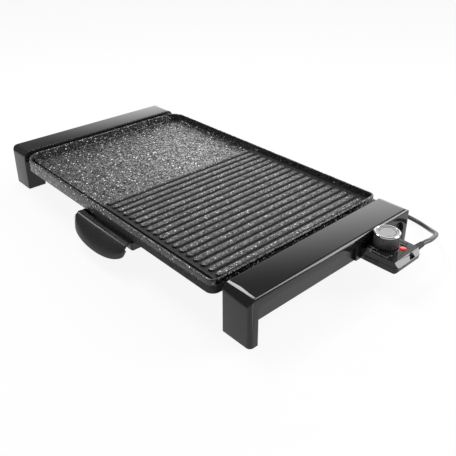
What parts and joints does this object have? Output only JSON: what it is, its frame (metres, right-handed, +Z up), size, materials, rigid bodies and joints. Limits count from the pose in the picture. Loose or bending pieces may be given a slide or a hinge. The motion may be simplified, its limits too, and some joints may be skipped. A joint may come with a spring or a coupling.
{
  "type": "electric table grill",
  "caption": "Long open electric grill plate, half flat and half ribbed, between two arched end bridges, with a pull-out drip tray and a detachable thermostat on a mains lead.",
  "frame": {"origin": "middle of the grill's own bounding box at the table, without the mains lead", "axes": "+X along the plate towards the controller, +Y to the back, -Y to the drip tray's handle, +Z up"},
  "size_m": [0.672, 0.4487, 0.0768],
  "materials": {
    "stone_coated_cast": "speckled non-stick coating, satin",
    "element_sheath": "heat-darkened tube",
    "galvanised_steel": "plain",
    "screw_steel": "zinc plated",
    "dark_screw_steel": "blackened",
    "ceramic_bead": "unglazed, with nickelled studs",
    "gloss_black": "gloss black",
    "satin_black": "satin black",
    "rubber_black": "matt",
    "nickel_pin": "nickel plated",
    "stainless": "bright",
    "enamel_tray": "dark enamel",
    "red_window": "translucent red",
    "lamp_glass": "clear",
    "thermostat_ceramic": "steatite and steel",
    "phenolic_block": "thermoset",
    "contact_brass": "bright",
    "lead_insulation": "silicone",
    "cord_black": "satin",
    "tie_white": "plain",
    "knob_black": "satin",
    "bright_ring": "polished",
    "satin_disc": "spun"
  },
  "bodies": {
    "base": {"grill_plate": "stone_coated_cast", "heating_element": "element_sheath", "element_clamps": "galvanised_steel", "clamp_screws": "screw_steel", "terminal_studs": "ceramic_bead", "left_bridge": "gloss_black", "right_bridge": "gloss_black", "left_carrier": "satin_black", "right_carrier": "satin_black", "plate_screws": "screw_steel", "cover_screws": "dark_screw_steel", "rubber_feet": "rubber_black", "controller_socket": "gloss_black", "terminal_pins": "nickel_pin", "socket_screws": "screw_steel", "probe_sleeve": "stainless", "left_tray_runner": "galvanised_steel", "right_tray_runner": "galvanised_steel", "runner_screws": "screw_steel"},
    "drip_tray": {"drip_tray": "enamel_tray", "tray_handle": "satin_black", "handle_screws": "screw_steel"},
    "controller": {"controller_base": "gloss_black", "controller_cover": "gloss_black", "indicator_lens": "red_window", "indicator_lamp": "lamp_glass", "thermostat_body": "thermostat_ceramic", "probe_rod": "stainless", "contact_block": "phenolic_block", "socket_contacts": "contact_brass", "controller_leads": "lead_insulation", "controller_screws": "dark_screw_steel", "strain_relief": "rubber_black", "power_cord": "cord_black", "cord_coil": "cord_black", "cord_tie": "tie_white", "plug_body": "cord_black", "plug_pins": "nickel_pin"},
    "knob": {"knob_body": "knob_black", "knob_ring": "bright_ring", "knob_disc": "satin_disc", "knob_spindle": "stainless"}
  },
  "joints": [
    {"name": "tray_slide", "type": "slide", "parent": "base", "child": "drip_tray", "axis": [0, -1, 0], "range_m": [0, 0.11]},
    {"name": "controller_unplug", "type": "slide", "parent": "base", "child": "controller", "axis": [1, 0, 0], "range_m": [0, 0.095]},
    {"name": "knob_turn", "type": "hinge", "parent": "controller", "child": "knob", "pos_m": [0.2977, 0.0895, 0.06], "axis": [0, 0, 1], "range_deg": [-270, 0]}
  ]
}
